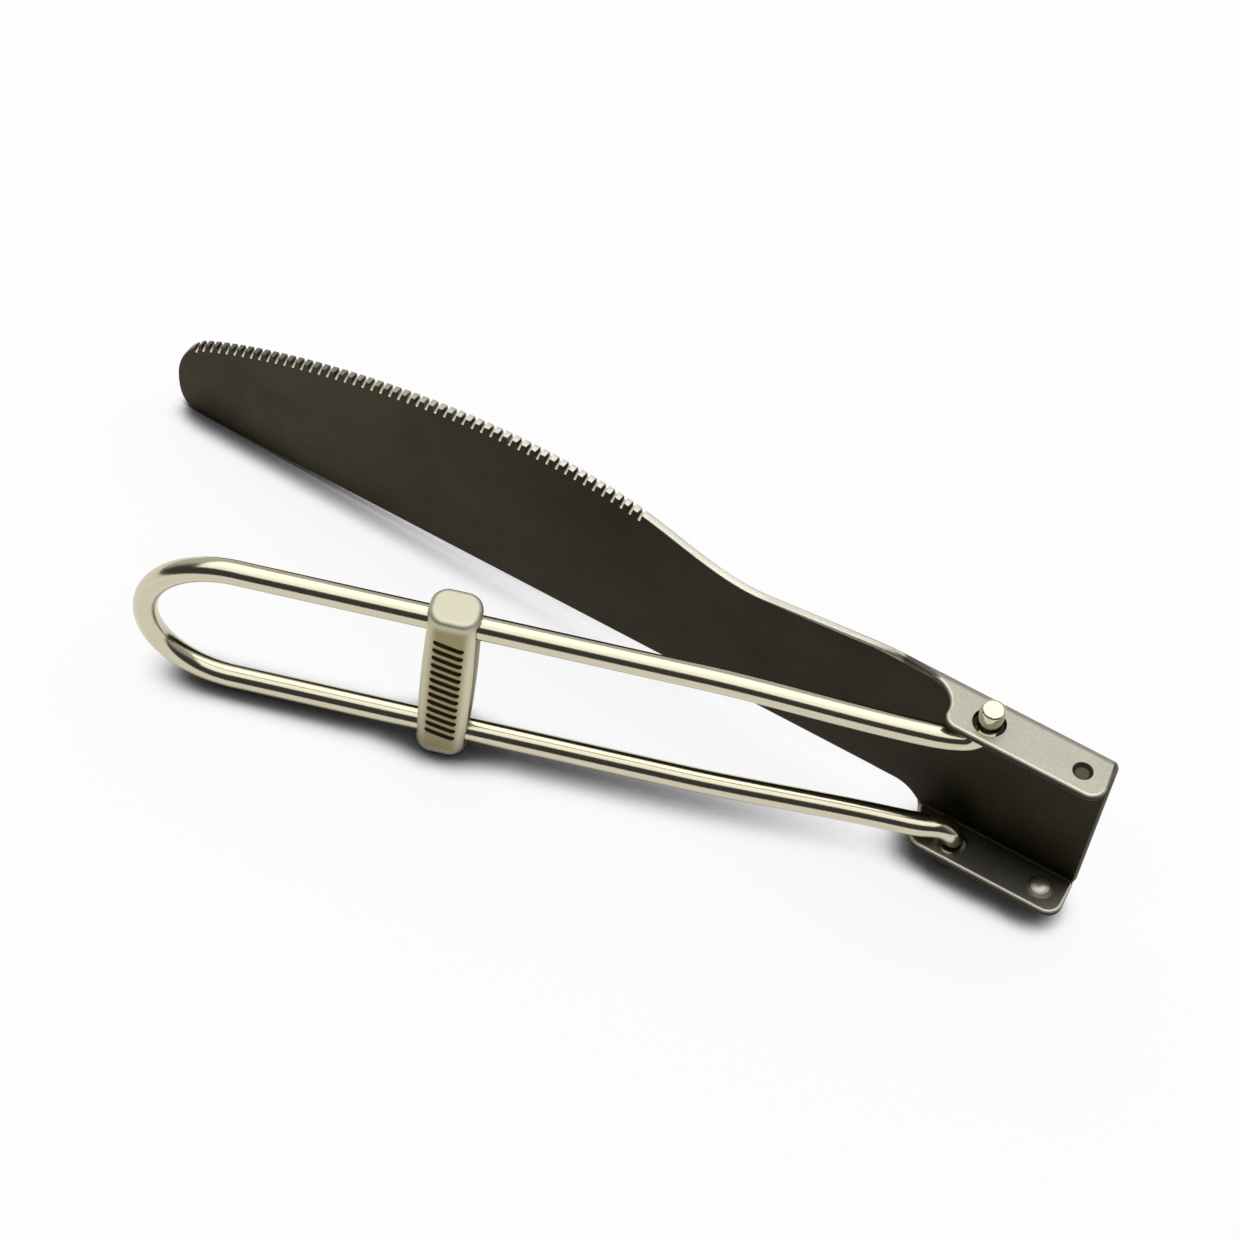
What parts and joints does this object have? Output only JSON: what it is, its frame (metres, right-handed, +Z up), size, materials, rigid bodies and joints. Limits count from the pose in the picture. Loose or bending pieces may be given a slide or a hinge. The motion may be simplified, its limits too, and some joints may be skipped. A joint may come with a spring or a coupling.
{
  "type": "folding camping knife",
  "caption": "Folding camping knife: a sheet blade with a notched edge and a channel root, hinged on a sprung wire loop handle that carries a sliding band.",
  "frame": {"origin": "middle of the base of the box round the knife as it stands, handle partly folded out", "axes": "+Z up along the pivot axis, +X from the blade's tip to the butt of its channel, -Y the side the channel opens to and the handle folds out on"},
  "size_m": [0.108, 0.0318, 0.0259],
  "materials": {
    "blade_sheet": "bead-blasted titanium sheet",
    "handle_wire": "drawn and polished titanium wire",
    "band_strip": "bead-blasted titanium strip"
  },
  "bodies": {
    "blade": {"blade": "blade_sheet"},
    "handle": {"wire_handle": "handle_wire"},
    "band": {"slide_lock": "band_strip"}
  },
  "joints": [
    {"name": "handle_fold", "type": "hinge", "parent": "blade", "child": "handle", "pos_m": [0.0411, 0.01251, 0.01295], "axis": [0, 0, 1], "range_deg": [-18.66, 161.34]},
    {"name": "lock_slide", "type": "slide", "parent": "handle", "child": "band", "axis": [-0.9474, -0.32, 0], "range_m": [-0.0353, 0.0188]}
  ]
}
